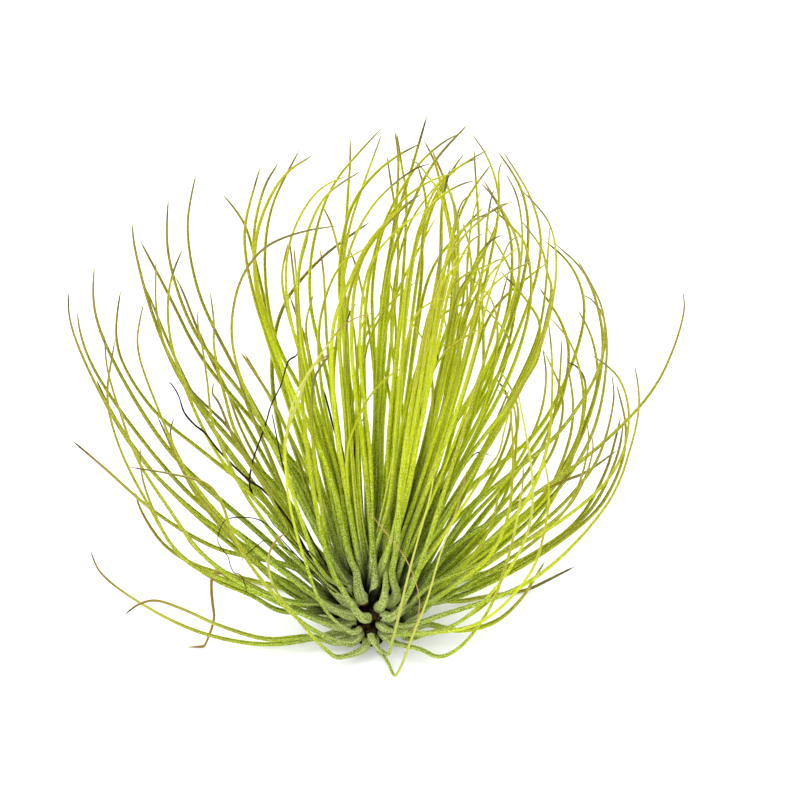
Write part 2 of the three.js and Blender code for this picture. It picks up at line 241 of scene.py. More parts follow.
white_card, tree, shader = new_material("white_card")
plug(tree, shader, {
    "Base Color": (0.88, 0.88, 0.9, 1),
    "Roughness": 0.9,
    "Emission Color": (1, 1, 1, 1),
    "Emission Strength": 0.15,
})
floor_mesh = bpy.data.meshes.new("floor")
corners = [(x * FLOOR_HALF, y * FLOOR_HALF, 0) for x, y in ((-1, -1), (1, -1), (1, 1), (-1, 1))]
floor_mesh.from_pydata(corners, [], [(0, 1, 2, 3)])
floor_mesh.materials.append(white_card)
floor = show("floor", floor_mesh)

# %% The light
SKY_COLOUR = (0.96, 0.98, 1.0, 1)
SKY_STRENGTH = 1.45
LAMP_PLACE = Vector((-0.55, -0.25, 1.0))
LAMP_SIZE = 0.45
LAMP_POWER = 2.2

scene.view_settings.view_transform = "Standard"
scene.view_settings.look = "None"
world = bpy.data.worlds.new("sky")
world.use_nodes = True
sky = world.node_tree.nodes["Background"].inputs
sky["Color"].default_value = SKY_COLOUR
sky["Strength"].default_value = SKY_STRENGTH * BURNT_OUT
scene.world = world
lamp = bpy.data.lights.new("lamp", "AREA")
lamp.size = LAMP_SIZE
lamp.energy = LAMP_POWER * BURNT_OUT
lamp_object = show("lamp", lamp)
lamp_object.location = LAMP_PLACE
lamp_object.rotation_euler = (-LAMP_PLACE).to_track_quat("-Z", "Y").to_euler()
print("lamp at", tuple(round(v, 2) for v in LAMP_PLACE))

# %% [markdown]
# ## Where the leaves run
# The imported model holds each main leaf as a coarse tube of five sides. Its rings of corners are found by
# spreading out from the point of its foot, and the middles of the rings are the leaf's middle line. A
# smooth curve through them is what the fine leaf is grown along, so it lies exactly where the model's does.

# %% Find the middle line of a leaf in the frame
SAME_CORNER = 8  # the digits to which a corner's copies are equal
stem_low, stem_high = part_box("stem")
STEM_MIDDLE = np.array((stem_low + stem_high) / 2)
STEM_HALF = np.array((stem_high - stem_low) / 2)


def unit(vectors):
    return vectors / np.linalg.norm(vectors, axis=-1, keepdims=True)


def spread_from(start, neighbours):
    """The corners of a mesh in rings around one of them, nearest first."""
    rings = [[start]]
    seen = {start}
    while rings[-1]:
        ring = {near for corner in rings[-1] for near in neighbours[corner]} - seen
        seen |= ring
        rings.append(sorted(ring))
    return rings[:-1]


def middle_line(node):
    """The middles of a leaf's rings, foot first."""
    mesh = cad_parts[node].data
    corners = np.array([vertex.co for vertex in mesh.vertices])
    places, which = np.unique(corners.round(SAME_CORNER), axis=0, return_inverse=True)
    neighbours = [set() for _ in places]
    for edge in mesh.edges:
        a, b = (which[v] for v in edge.vertices)
        neighbours[a].add(b)
        neighbours[b].add(a)
    for start in np.argsort(np.linalg.norm(places - STEM_MIDDLE, axis=1)):
        rings = spread_from(start, neighbours)
        if len(rings[-1]) == 1 and len({len(ring) for ring in rings[1:-1]}) == 1:
            return np.array([places[ring].mean(axis=0) for ring in rings])
    raise ValueError(f"{node} has no rings")


leaf_nodes = sorted(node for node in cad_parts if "leaf" in node)
middles = {node: middle_line(node) for node in leaf_nodes}
print("leaves in the frame:", len(middles), "of", {len(line) for line in middles.values()}, "rings")

# %% Smooth a line, and choose where along it the cross-sections go
LINE_POINTS = 500
RINGS = 72
PLAIN_SPACING = 4 * MM
SHEATH_SPACING = 0.35 * MM
SHEATH_FADE = 5 * MM
BEND_PER_RING = 0.16
KNOT_POWER = 0.5  # between 0 and 1, so that the curve makes no loop where two points are close


def smooth_line(points):
    """Close points along a curve through the given ones, and how far along it each of them is."""
    points = np.asarray(points, float)
    knots = np.append(0, np.cumsum(np.linalg.norm(np.diff(points, axis=0), axis=1) ** KNOT_POWER))
    slopes = np.gradient(points, knots, axis=0)
    at = np.linspace(0, knots[-1], LINE_POINTS)
    i = np.clip(np.searchsorted(knots, at) - 1, 0, len(points) - 2)
    gap = (knots[i + 1] - knots[i])[:, None]
    t = (at - knots[i])[:, None] / gap
    line = (2 * t**3 - 3 * t**2 + 1) * points[i] + (3 * t**2 - 2 * t**3) * points[i + 1]
    line += gap * ((t**3 - 2 * t**2 + t) * slopes[i] + (t**3 - t**2) * slopes[i + 1])
    along = np.append(0, np.cumsum(np.linalg.norm(np.diff(line, axis=0), axis=1)))
    return line, along


def stations(line, along):
    """How far along a leaf its rings go: close on the sheath and in each bend, further apart elsewhere."""
    steps = np.diff(line, axis=0)
    lengths = np.linalg.norm(steps, axis=1)
    tangents = steps / lengths[:, None]
    turning = np.append(0, np.linalg.norm(np.diff(tangents, axis=0), axis=1))
    sheath = np.exp(-along[1:] / SHEATH_FADE) * lengths / SHEATH_SPACING
    wanted = np.append(0, np.cumsum(lengths / PLAIN_SPACING + sheath + turning / BEND_PER_RING))
    return np.interp(np.linspace(0, wanted[-1], RINGS), wanted, along)


# %% [markdown]
# ## What each leaf is like
# A leaf is its line and its character: how stout it is, how young and vivid, from where it has turned
# yellow and from where it has dried up, as shares of its length. The leaves of the frame come first. Their
# characters are drawn from a seeded random source, and the few that stand out in the photograph are given
# theirs by name.

# %% Give the main leaves their characters
chance = random.Random(11)
NEVER = 2.0  # a share of the length that no leaf reaches
STANDS_OUT = {
    "left_leaf_01": {"yellow_from": 0.55, "dry_from": 0.8, "char": 1.0},
    "left_leaf_02": {"yellow_from": 0.55, "dry_from": 0.8, "char": 1.0},
    "left_leaf_03": {"yellow_from": 0.7, "dry_from": 0.86, "char": 1.0},
    "front_leaf_01": {"dry_from": 0.84, "char": 1.0},
    "front_leaf_02": {"yellow_from": 0.7, "dry_from": 0.86, "stout": 0.8},
    "front_leaf_03": {"yellow_from": 0.62, "dry_from": 0.84, "stout": 0.56},
    "front_leaf_05": {"yellow_from": 0.72, "dry_from": 0.93, "stout": 0.75},
    "front_leaf_06": {"yellow_from": 0.5, "dry_from": 0.95, "stout": 0.72},
    "front_leaf_07": {"yellow_from": 0.12, "dry_from": 0.8, "stout": 0.46},
    "front_leaf_08": {"yellow_from": 0.16, "dry_from": 0.94, "stout": 0.56},
    "left_leaf_17": {"youth": 0.15, "dry_from": 0.8},
    "left_leaf_18": {"youth": 0.2, "dry_from": 0.84},
    "right_leaf_12": {"dry_from": 0.72, "char": 1.0},
    "dry_leaf_01": {"yellow_from": 0.3, "dry_from": 0.42},
}
MOST_YOUTH = 1.05
YOUTH_SPREAD = 0.2
YOUNG_MIDDLE = 8 * MM  # the youngest leaves grow around here, seen from the front
YOUNG_REACH = 58 * MM
YOUNG_HEIGHT = 85 * MM
LOW_YOUTH = 0.15  # for a leaf whose tip is near the table
FRONT_YOUTH = 0.4
STOUTNESS = (0.86, 1.08)
DRY_FROM = (0.89, 0.95)
CHAR_RARITY = 6  # the higher, the fewer leaves have a charred tip
FOOT_DEPTH = 1.5 * MM  # how much deeper a leaf's foot is than in the model


def new_leaf(side, points, node=None, **character):
    """A leaf on one side of the plant, along a line of points from its foot to its tip."""
    points = np.asarray(points, float)
    tip = points[-1]
    youth = MOST_YOUTH - abs(tip[0] - YOUNG_MIDDLE) / YOUNG_REACH
    youth *= min(1.0, max(LOW_YOUTH, tip[2] / YOUNG_HEIGHT))
    youth += chance.uniform(-YOUTH_SPREAD, YOUTH_SPREAD)
    youth *= FRONT_YOUTH if side == "front" else 1.0
    leaf = {
        "side": side,
        "node": node,
        "points": points,
        "stout": chance.uniform(*STOUTNESS),
        "youth": min(1.0, max(0.0, youth)),
        "yellow_from": NEVER,
        "dry_from": chance.uniform(*DRY_FROM),
        "char": chance.random() ** CHAR_RARITY,
        "seed": chance.random(),
        # an inner leaf gets painted shade on its foot, near the stem
        "inner": 0.0 if node or side == "front" else 1.0,
    }
    leaf.update(character)
    return leaf


leaves = []
for node in leaf_nodes:
    foot = middles[node][0]
    deeper = foot - FOOT_DEPTH * unit((foot - STEM_MIDDLE) / STEM_HALF)
    line = np.vstack([deeper, middles[node]])
    leaves.append(new_leaf(node.split("_")[0], line, node, **STANDS_OUT.get(node, {})))
print("main leaves:", len(leaves))

# %% [markdown]
# ## The thinner leaves between them
# The photograph shows many more leaves than the model holds. They are written down the way the model's own
# are: as seen from 38 degrees above the table, each as points across and up from the plant's foot, and how
# far behind the stem the tip ends. Some rows end with what is special about the leaf. Most of the way back
# is near the foot, and in a leaf that arches more it is near the tip.

# %% The other leaves that can be made out, in millimetres
SPREAD = 0.6  # below 1, so that a leaf goes back mostly near its foot
TIP_LEAN = 2.5  # above 1, so that one with more arch leans over near its tip
ARCHES = (0.1, 0.8)
MORE_LEAVES = {"left": [
    (40, [(-10, 30), (-17.5, 50), (-26, 76.5), (-29, 86.5), (-31, 96.5), (-31, 104), (-27, 119)]),
    (50, [(-9, 28), (-16, 50), (-25, 78), (-28, 88), (-29, 98), (-28.5, 105), (-26, 114),
          (-22.5, 120)]),
    (20, [(-15, 20), (-26, 38), (-34, 53), (-36, 60), (-38, 68), (-39, 74), (-39, 80), (-40, 88)]),
    (-2, [(-17.5, 19), (-30, 35), (-37, 49), (-39, 55), (-40, 65), (-41, 73), (-42, 79), (-42, 83)]),
    (30, [(-17.5, 28), (-26, 48), (-31, 60), (-33, 66.5), (-35.5, 71.5), (-38, 76.5), (-40, 80)]),
    (26, [(-12.5, 16), (-25, 33), (-37.5, 50), (-45, 63), (-50.5, 75), (-55, 86), (-57, 90)]),
    (48, [(-10, 15), (-20, 33), (-31, 53), (-39, 68), (-44, 79), (-47.5, 88), (-49.5, 92)]),
    (14, [(-15, 24), (-27.5, 41.5), (-36, 54), (-39, 57), (-44, 62), (-46, 65)], {"dry_from": 0.7}),
    (2, [(-15, 20), (-26, 38), (-33.5, 50), (-37.5, 59.5), (-39, 62), (-38.5, 65)], {"dry_from": 0.84}),
    (4, [(-17.5, 10), (-32.5, 23), (-42.5, 35), (-48, 45), (-51, 52), (-53, 56.5)], {"char": 1.0}),
    (-6, [(-12.5, 9), (-25, 16.5), (-36, 28), (-45, 40), (-49.5, 52), (-48.5, 56)], {"char": 0.5}),
    (-10, [(-22.5, 10), (-40, 20), (-51, 35), (-57, 45), (-61, 56.5), (-64, 68), (-64.5, 76.5)]),
    (14, [(-22.5, 15), (-40, 28), (-52.5, 40), (-60, 50), (-64, 56.5), (-68.5, 66)], {"char": 1.0}),
    (30, [(-7.5, 15), (-12.5, 28), (-20, 50), (-24.5, 60), (-29, 67), (-33, 73)], {"yellow_from": 0.6}),
    (-8, [(-10, 6), (-22.5, 7), (-30, 11), (-39, 15), (-49, 23), (-55, 35), (-57, 43), (-57, 49)]),
    (-2, [(-10, 7), (-22.5, 10), (-32.5, 13), (-41, 20), (-45, 24), (-48, 29)], {"char": 1.0}),
], "back": [
    (56, [(-4, 40), (-6, 65), (-7, 85), (-7, 95), (-6, 105), (-5.5, 113), (-5, 120), (-5, 127)]),
    (58, [(0.5, 35), (1.5, 60), (3, 85), (5, 98), (6, 104), (7, 115), (7, 121.5), (6, 128.5)]),
    (66, [(4.5, 35), (6, 60), (8, 88), (8.5, 95), (9, 105), (9, 113), (8, 119), (6.5, 129)]),
    (14, [(-4, 30), (-6, 55), (-7.5, 78), (-5, 96.5), (1, 108), (8.5, 115), (13, 117.5), (15.5, 118)]),
    (44, [(0.5, 30), (1.5, 55), (3, 80), (5, 94), (8, 103), (13.5, 115), (17.5, 121), (25, 129)]),
    (30, [(-1, 48), (-1.5, 73), (0, 91.5), (4, 105), (10.5, 116.5), (14.5, 121), (19, 124.5),
          (24, 127)]),
    (4, [(-5.5, 35), (-9, 60), (-9, 78), (-6, 87), (0, 99), (7, 106.5), (11, 109.5), (13.5, 111)]),
    (22, [(-4, 35), (-6, 60), (-6, 78), (-5, 87), (-1, 97), (4.5, 104), (7.5, 106.5)]),
    (62, [(-5, 53), (-6, 78), (-7, 93), (-8.5, 100), (-10, 105), (-12.5, 110)], {"yellow_from": 0.5}),
    (56, [(9, 25), (15, 50), (20.5, 75), (22, 90), (20.5, 101), (17.5, 115), (16, 120), (13, 126)]),
    (64, [(10, 35), (16, 60), (21, 85), (22, 99), (21.5, 107), (15, 124)], {"yellow_from": 0.7}),
    (34, [(4.5, 35), (7, 60), (9.5, 85), (12, 100), (17.5, 113), (21, 117), (24, 119), (28, 120.5)]),
    (50, [(6, 48), (9.5, 73), (12.5, 95), (15, 106.5), (19, 115), (21.5, 119), (24, 122.5)]),
    (36, [(6, 13), (9, 40), (12.5, 55), (15.5, 75), (17.5, 95), (18, 109), (20, 118)], {"stout": 1.2}),
    (26, [(11, 40), (17.5, 65), (20.5, 88), (20, 100), (17, 111.5), (14.5, 115), (12, 118), (9, 120)]),
    (60, [(5.5, 30), (8, 50), (11, 75), (13, 93), (13, 99), (14, 109), (13, 115), (11.5, 120)]),
    (16, [(6, 45), (8, 70), (9.5, 88), (12.5, 103), (15, 107.5), (19, 111), (23, 113), (27, 114)]),
    (8, [(9, 40), (14, 65), (17.5, 88), (20, 100), (21, 104), (23, 109), (24.5, 110), (26, 110)]),
    (6, [(8, 35), (12.5, 60), (15.5, 83), (20, 96), (24, 101.5), (28, 105), (32, 108), (36, 109)]),
    (-4, [(7.5, 30), (12.5, 53), (17, 75), (20, 89), (22, 94), (25, 99), (28.5, 101)]),
    (52, [(9, 25), (15, 45), (21, 68), (25, 85), (25.5, 94), (24.5, 101), (23, 106)]),
    (12, [(9, 40), (15, 70), (19, 90), (21, 99), (25, 104), (30, 106.5), (35, 109)]),
    (40, [(-7.5, 30), (-12.5, 53), (-17.5, 71.5), (-22, 90), (-20.5, 100)], {"yellow_from": 0.8}),
    (54, [(-7.5, 25), (-12.5, 45), (-17, 65), (-18, 83), (-19.5, 100)], {"yellow_from": 0.6}),
    (24, [(-6, 20), (-11, 43), (-16, 65), (-18, 85), (-17.5, 93), (-15, 102)]),
    (60, [(-4.5, 23), (-7, 43), (-9.5, 63), (-11, 74), (-12, 93), (-13, 99.5)], {"yellow_from": 0.7}),
    (34, [(-6, 20), (-10.5, 43), (-14, 60), (-16, 74), (-18.5, 81.5), (-20.5, 87)], {"dry_from": 0.84}),
    (46, [(1.5, 25), (1, 48), (1, 66.5), (-1.5, 85), (-4.5, 96.5), (-6, 99)]),
    (6, [(-3, 30), (-5, 53), (-6, 70), (-5.5, 80), (-4.5, 82.5), (-3, 84.5)], {"dry_from": 0.88}),
], "right": [
    (42, [(10, 28), (19, 53), (26, 78), (30, 96), (31.5, 104), (32, 111.5), (32, 117), (33, 120)]),
    (30, [(9.5, 25), (17, 48), (24, 73), (27.5, 90), (28.5, 97), (29, 104), (30, 110), (31, 113)]),
    (58, [(10, 23), (20, 45), (31, 68), (37, 88), (37, 100), (28, 116.5)], {"yellow_from": 0.7}),
    (50, [(16, 38), (27.5, 63), (34.5, 83), (35.5, 98), (34, 105), (30, 112), (27, 115)]),
    (38, [(12.5, 25), (25, 48), (35.5, 68), (40, 85), (39.5, 95), (38, 100), (35, 103.5), (29, 109)]),
    (28, [(12.5, 23), (24, 40), (35, 58), (42.5, 75), (45, 88), (44, 91.5), (42.5, 97.5), (37, 105)]),
    (0, [(11, 30), (20, 53), (26, 73), (29.5, 86.5), (32.5, 95), (34.5, 99), (37.5, 100.5)]),
    (20, [(8, 28), (14, 50), (19, 73), (22, 86.5), (25, 91.5), (27, 96), (30, 99.5), (33, 101)]),
    (-6, [(11, 35), (19, 60), (24.5, 79), (30, 88), (33.5, 91), (37, 93), (41, 94.5)]),
    (40, [(15, 13), (32.5, 25), (45, 36.5), (54, 53), (58, 68), (58, 79), (53.5, 92), (45.5, 100)]),
    (28, [(15, 11.5), (32.5, 23), (47.5, 38), (55, 50), (58.5, 63), (58.5, 80), (55.5, 85), (52, 87)]),
    (50, [(14, 11.5), (30, 24), (44, 36), (52.5, 50), (57.5, 65), (56, 76), (52, 84)]),
    (46, [(11, 20), (22.5, 38), (32.5, 55), (40.5, 71), (42.5, 79), (38.5, 86), (32, 93)]),
    (42, [(14, 15), (30, 33), (41, 48), (48, 60), (50, 73), (48, 80), (45, 85), (42, 89.5)]),
    (8, [(11, 19), (22.5, 36.5), (32.5, 54), (38, 64), (41.5, 70), (43, 78), (44.5, 85)]),
    (20, [(12.5, 15), (24, 29), (34, 40), (40, 50), (43, 58), (44, 66.5), (43, 74)]),
    (-4, [(15, 13), (30, 25), (39, 35), (44, 48), (45, 58), (45, 70), (44, 80)]),
    (12, [(15, 15), (30, 30), (40, 43), (45, 53), (47, 61.5), (48, 76.5)]),
    (32, [(16, 13), (32.5, 25), (44, 36), (50, 50), (51, 59), (49.5, 70)]),
    (24, [(17.5, 13), (35, 26.5), (46, 39), (53, 53), (54, 65), (52, 68.5), (49, 70)], {"char": 1.0}),
    (14, [(16, 11), (32.5, 21.5), (45, 31), (52.5, 39), (57, 46), (60.5, 60), (60, 67)]),
    (36, [(17.5, 9), (32.5, 15), (46, 23), (57, 32), (61, 38), (64, 46), (64.5, 54), (62, 65)]),
    (4, [(14, 14), (25, 25), (37.5, 34.5), (49, 40), (54, 42), (62.5, 48)], {"dry_from": 0.8}),
    (26, [(14, 16.5), (24, 30), (32.5, 45), (35.5, 55), (34.5, 61.5), (31.5, 66)], {"char": 1.0}),
    (34, [(15, 10), (25, 13), (40, 20), (52.5, 29), (57.5, 35), (62.5, 46.5), (64, 55)]),
], "front": [
    (-18, [(4, 0), (9, 0), (15, 1.5), (20, 3), (25, 6), (30, 10), (32.5, 15)]),
    (-22, [(-11, 16), (-17, 30), (-21, 48), (-17.5, 60), (-14, 68), (-9, 72)], {"yellow_from": 0.6}),
    (0, [(-9, 20), (-13, 40), (-14.5, 55), (-13.5, 66), (-11, 70), (-7.5, 75)], {"dry_from": 0.72}),
]}


def way_points(back, seen, arch=0.0):
    """The points of a leaf in space, from how it is seen and how far back its tip is.

    With more arch a leaf goes up first and leans over near its tip."""
    across, up = np.array(seen, float).T
    steps = np.hypot(np.diff(across, prepend=0), np.diff(up, prepend=0))
    reach = np.cumsum(steps)
    share = reach / reach[-1]
    behind = back * ((1 - arch) * share ** SPREAD + arch * share ** TIP_LEAN)
    height = (up - behind * math.sin(EYE_ELEVATION)) / math.cos(EYE_ELEVATION)
    return np.column_stack([across, behind, height]) * MM


print("more leaves:", {side: len(rows) for side, rows in MORE_LEAVES.items()})

# %% [markdown]
# Every leaf grows out of the stem. The feet of the thinner leaves start on the stem right under their own
# leaves, on its upper part, where the younger leaves are. Then they push each other, and are pushed by the
# main leaves' feet, until all of them have room.

# %% Feet on the stem
FOOT_SPACING = 1.4 * MM
FOOT_INSET = 2.0 * MM
FOOT_PUSH = 0.4
SETTLING_ROUNDS = 150
LOWEST_FOOT = math.sin(math.radians(2))
NEAREST_FOOT = -0.12  # the thinner leaves grow behind the ones whose feet are seen
LAUNCH = 4 * MM
LAUNCH_SQUARE = 1.4


def on_stem(directions, inset=0.0):
    return STEM_MIDDLE + directions * (STEM_HALF - inset)


def settle(starts, taken):
    """Directions from the stem's middle to leaves' starts, pushed apart until the feet there have room."""
    feet = unit(np.array(starts) - STEM_MIDDLE)
    for _ in range(SETTLING_ROUNDS):
        away = on_stem(feet)[:, None] - on_stem(np.vstack([feet, taken]))[None]
        distance = np.linalg.norm(away, axis=2)
        np.fill_diagonal(distance, np.inf)
        share = np.maximum(FOOT_SPACING / distance - 1, 0)
        push = (away * share[:, :, None]).sum(axis=1)
        feet = unit(feet + FOOT_PUSH * push / STEM_HALF[0])
        feet[:, 1] = np.maximum(feet[:, 1], NEAREST_FOOT)
        feet[:, 2] = np.maximum(feet[:, 2], LOWEST_FOOT)
    return unit(feet)


def from_foot(foot, points):
    """A leaf's points with its foot in front: out of the stem, nearly square to it, then its own way."""
    root = on_stem(foot, FOOT_INSET)
    launch = LAUNCH_SQUARE * unit(foot / STEM_HALF) + unit(points[0] - root)
    beyond = [point for point in points if np.linalg.norm(point - root) > 2 * LAUNCH]
    return np.array([root, root + LAUNCH * unit(launch), *beyond])


# %% [markdown]
# A leaf that would run through another one is combed back or forwards until it has the most room. Seen from
# the front it keeps its place, because only its way towards the back changes.

# %% Comb the thinner leaves in between the others
CROWN_RADIUS = 14 * MM  # around the stem's middle, where the sheaths crowd and nothing is measured
COMB_STEPS = (0, 2, -2, 4, -4, 6, -6, 8, -8, 10, -10)
COMB_GAP = 0.3 * MM
USUAL_RADIUS = 0.9 * MM
USUAL_TAPER = 0.55
EVERY_POINT = 4  # one in so many of a smooth line's points is compared


class Crowd:
    """The leaves that have found their places, as close points with radii."""

    def __init__(self):
        self.points = []
        self.radii = []

    def outline(self, points):
        line, along = smooth_line(points)
        line, share = line[::EVERY_POINT], along[::EVERY_POINT] / along[-1]
        outside = np.linalg.norm(line - STEM_MIDDLE, axis=1) > CROWN_RADIUS
        return line[outside], (USUAL_RADIUS * (1 - share) ** USUAL_TAPER)[outside]

    def join(self, points):
        line, radii = self.outline(points)
        self.points.extend(line)
        self.radii.extend(radii)
        self.tree = KDTree(len(self.points))
        for i, point in enumerate(self.points):
            self.tree.insert(point, i)
        self.tree.balance()

    def gap(self, points):
        """How far a leaf clears the others where it comes nearest."""
        gaps = []
        for point, radius in zip(*self.outline(points)):
            _, nearest, distance = self.tree.find(point)
            gaps.append(distance - radius - self.radii[nearest])
        return min(gaps)

    def roomiest(self, ways):
        """The first way that clears the others well, or else the one that clears them best."""
        best = None
        for points in ways:
            gap = self.gap(points)
            if best is None or gap > best[0]:
                best = (gap, points)
            if gap > COMB_GAP:
                break
        self.join(best[1])
        return best[1]


# %% Put the thinner leaves in their places
crowd = Crowd()
for leaf in leaves:
    crowd.join(leaf["points"])
taken = unit(np.array([(leaf["points"][1] - STEM_MIDDLE) / STEM_HALF for leaf in leaves]))
rows = [(side, *row) for side, side_rows in MORE_LEAVES.items() for row in side_rows]
feet = settle([way_points(back, seen)[0] for _, back, seen, *_ in rows], taken)
for foot, (side, back, seen, *character) in zip(feet, rows):
    arch = chance.uniform(*ARCHES)
    points = crowd.roomiest(from_foot(foot, way_points(back + step, seen, arch)) for step in COMB_STEPS)
    leaves.append(new_leaf(side, points, **(character[0] if character else {})))
print("leaves now:", len(leaves))

# %% [markdown]
# The last leaves only fill the rosette, mostly where the photograph can't look: each is a smaller sister of
# a leaf that is already there, turned some way around the stem.

# %% Leaves that fill the rosette
SISTERS = {"back": (35, (-1,)), "right": (17, (1, -1, -1))}  # how many, and which ways round
SISTER_TURNS = (6, 30)  # degrees, and clockwise seen from above where the way round is -1
SISTER_SIZES = (0.62, 1.0)
SISTER_STOUTNESS = (0.72, 0.95)
SISTER_DRY_FROM = 0.975
HIGH_TIP = 70 * MM  # only leaves that reach higher have sisters
TURN_STEPS = (0, 2, -2, 4, -4, 6, -6, 8, -8)


def turned(points, degrees):
    cosine, sine = math.cos(math.radians(degrees)), math.sin(math.radians(degrees))
    return points @ np.array([[cosine, sine, 0], [-sine, cosine, 0], [0, 0, 1]])


sisters = []
for side, (count, ways_round) in SISTERS.items():
    tall = [leaf for leaf in leaves if leaf["side"] == side and leaf["points"][-1][2] > HIGH_TIP]
    for leaf in chance.sample(tall, count):
        turn = chance.uniform(*SISTER_TURNS) * chance.choice(ways_round)
        sisters.append((side, turn, leaf["points"][2:] * chance.uniform(*SISTER_SIZES)))
taken = np.vstack([taken, feet])
starts = [turned(points, turn)[0] for _, turn, points in sisters]
for foot, (side, turn, points) in zip(settle(starts, taken), sisters):
    points = crowd.roomiest(from_foot(foot, turned(points, turn + step)) for step in TURN_STEPS)
    stout = chance.uniform(*SISTER_STOUTNESS)
    leaves.append(new_leaf(side, points, dry_from=SISTER_DRY_FROM, char=0.0, stout=stout))
print("leaves in all:", len(leaves))

# %% [markdown]
# ## What is dead
# A few old leaves have died and hang among the living ones as dark fibres, some of them broken and wiggly.
# All of them still hold on to the stem. Each row says how far back a fibre's tip is, how stout it is beside a
# leaf, and where it is seen. Around their feet the stem carries scraps of old sheaths.

# %% Dead fibres, in millimetres as they are seen
DEAD_FIBRES = [
    (2, 0.4, [(-10, 13), (-21, 31), (-27, 38), (-30, 40), (-38, 48), (-41, 52), (-43.5, 54), (-46, 57),
              (-47.5, 61.5), (-49, 64), (-50, 65)]),
    (6, 0.36, [(-10, 13), (-20, 25), (-27, 33), (-30, 38), (-29.5, 44), (-26, 54), (-24.5, 59), (-22, 64),
               (-20, 70), (-18, 71.5), (-18, 76)]),
    (2, 0.3, [(-9, 16), (-15, 26), (-20, 38), (-22, 45), (-23, 50), (-24.5, 58)]),
    (-10, 0.2, [(-6, 8), (-12, 14), (-20, 23), (-27, 30), (-31, 31), (-35.5, 30.5), (-37, 29), (-38, 25),
                (-37, 23), (-35.5, 21), (-35, 19), (-34, 17), (-32.5, 16.5), (-31.5, 14.5), (-31, 12),
                (-32, 11)]),
    (8, 0.42, [(-4, 14), (-5, 24), (-6.5, 33), (-6.5, 43), (-7, 48), (-9, 53), (-10, 57), (-11.5, 63)]),
    (-20, 0.17, [(10.4, 2), (12, 6), (12.4, 10), (11, 16), (9, 20.5), (6.8, 23.8), (3.8, 27.5), (1, 31),
                 (-1, 33)]),
    (-8, 0.26, [(-9, 15), (-14, 21), (-15.5, 22.5), (-18, 24), (-20, 27), (-20.5, 29)]),
    (-9, 0.18, [(-9, 12), (-16, 19), (-20, 22.5), (-23, 24), (-26.5, 25), (-28, 24), (-31, 21.5),
                (-33, 19)]),
    (-6, 0.2, [(-10, 14), (-17, 22), (-22, 27), (-24, 29), (-25.5, 31.5)]),
    (10, 0.24, [(-2, 30), (-4, 45), (-3, 53), (-2, 55), (-1, 56.5)]),
    (30, 0.28, [(4, 24), (9, 44), (14, 60), (15, 66), (17, 70), (16, 75)]),
    (20, 0.24, [(8, 20), (17, 36), (24, 44), (27, 47), (31, 46)]),
]
TAN_FIBRE = 5  # its place in the list; the others are dark
DEAD = {"yellow_from": 0.0, "dry_from": 0.0}

dead = []
feet = settle([way_points(back, seen)[0] for back, _, seen in DEAD_FIBRES], taken)
for i, (foot, (back, radius, seen)) in enumerate(zip(feet, DEAD_FIBRES)):
    points = from_foot(foot, way_points(back, seen))
    dead.append(new_leaf("dry", points, stout=radius, seed=1.0 if i == TAN_FIBRE else 0.0, **DEAD))

# %% Scraps of old sheaths around the stem
SCRAPS = 34
GOLDEN_TURN = math.pi * (3 - math.sqrt(5))  # from one leaf of a spiral rosette to the next
SCRAP_LATITUDES = (-28, 48)
SCRAP_LENGTHS = (2.6, 5.0)
SCRAP_JOINTS = (0.35, 0.75)  # where it bends, as shares of its length
LEAN_OUT = (0.5, 1.0)
LEAN_UP = (0.0, 0.9)
CURL_UP = (-0.5, 0.4)
CURL_ASIDE = (-0.5, 0.5)

scraps = []
for i in range(SCRAPS):
    turn = i * GOLDEN_TURN
    latitude = math.radians(chance.uniform(*SCRAP_LATITUDES))
    outwards = np.array([math.cos(turn), math.sin(turn), 0])
    foot = outwards * math.cos(latitude) + np.array([0, 0, math.sin(latitude)])
    root = on_stem(foot, FOOT_INSET)
    length = chance.uniform(*SCRAP_LENGTHS) * MM
    lean = outwards * chance.uniform(*LEAN_OUT) + np.array([0, 0, chance.uniform(*LEAN_UP)])
    curl = np.array([chance.uniform(*reach) for reach in (CURL_ASIDE, CURL_ASIDE, CURL_UP)])
    ways = [unit(foot) * SCRAP_JOINTS[0], unit(lean) * SCRAP_JOINTS[1], unit(unit(lean) + curl)]
    points = [root, *[root + way * length for way in ways]]
    scraps.append(new_leaf("dry", points, seed=0.0, **DEAD))
print("dead fibres:", len(dead), " scraps:", len(scraps))

# %% [markdown]
# ## Growing a leaf along its line
# Every leaf is the same plant part, so one Geometry Nodes tree grows them all. It sweeps a circle along
# each line and then moves every point to where the leaf's own section has it: nearly round on the sheath,
# flatter with a channel down the upper side on the blade. The circle is left open while it is swept, so
# that the seam has two sides and the leaf's strip of texture can be laid out flat. The seam is closed
# after that.

# %% The tree that grows leaves
GROWTH_NUMBERS = {
    "Blade radius": 1.02 * MM,
    "Thinning": 0.67,
    "Point": 24.0,
    "Sheath swell": 0.6 * MM,
    "Sheath middle": 2.1 * MM,
    "Round foot": 1.7 * MM,
    "Channel": 0.6,
    "Flatness": 0.85,
    "Unevenness": 0.16,
    "Sides": 16,
    "Strips": 1,
}


def new_growth_tree():
    group = bpy.data.node_groups.new("grow_leaves", "GeometryNodeTree")
    face = group.interface
    face.new_socket("Lines", in_out="INPUT", socket_type="NodeSocketGeometry")
    for name, start in GROWTH_NUMBERS.items():
        kind = "NodeSocketInt" if isinstance(start, int) else "NodeSocketFloat"
        face.new_socket(name, in_out="INPUT", socket_type=kind).default_value = start
    face.new_socket("Material", in_out="INPUT", socket_type="NodeSocketMaterial")
    face.new_socket("Leaves", in_out="OUTPUT", socket_type="NodeSocketGeometry")
    return group


growth = new_growth_tree()
grow = Tree(growth)


